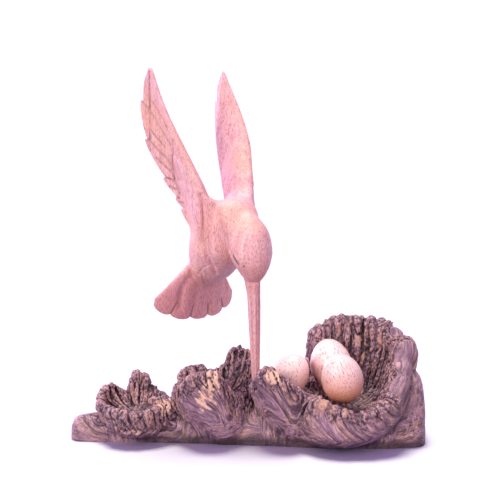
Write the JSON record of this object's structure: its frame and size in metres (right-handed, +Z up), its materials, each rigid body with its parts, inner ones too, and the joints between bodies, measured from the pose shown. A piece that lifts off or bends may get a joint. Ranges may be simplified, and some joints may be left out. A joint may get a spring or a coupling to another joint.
{
  "type": "bird with eggs carving",
  "caption": "Carved wooden hummingbird hovering on its long bill over a gnarled burl base, with loose wooden eggs lying in the burl's natural cup.",
  "frame": {"origin": "under the middle of the whole carving's box, on the surface that its flat underside stands on", "axes": "+X along the log towards the nest, +Y to the back, +Z up; the bird faces 50 degrees from +X towards the front"},
  "size_m": [0.2886, 0.1574, 0.2982],
  "materials": {
    "burl_wood": "satin",
    "bird_wood": "satin",
    "egg_wood": "satin"
  },
  "bodies": {
    "root": {"burl_base": "burl_wood", "bird": "bird_wood", "egg_left": "egg_wood", "egg_back": "egg_wood", "egg_front": "egg_wood"}
  },
  "joints": []
}
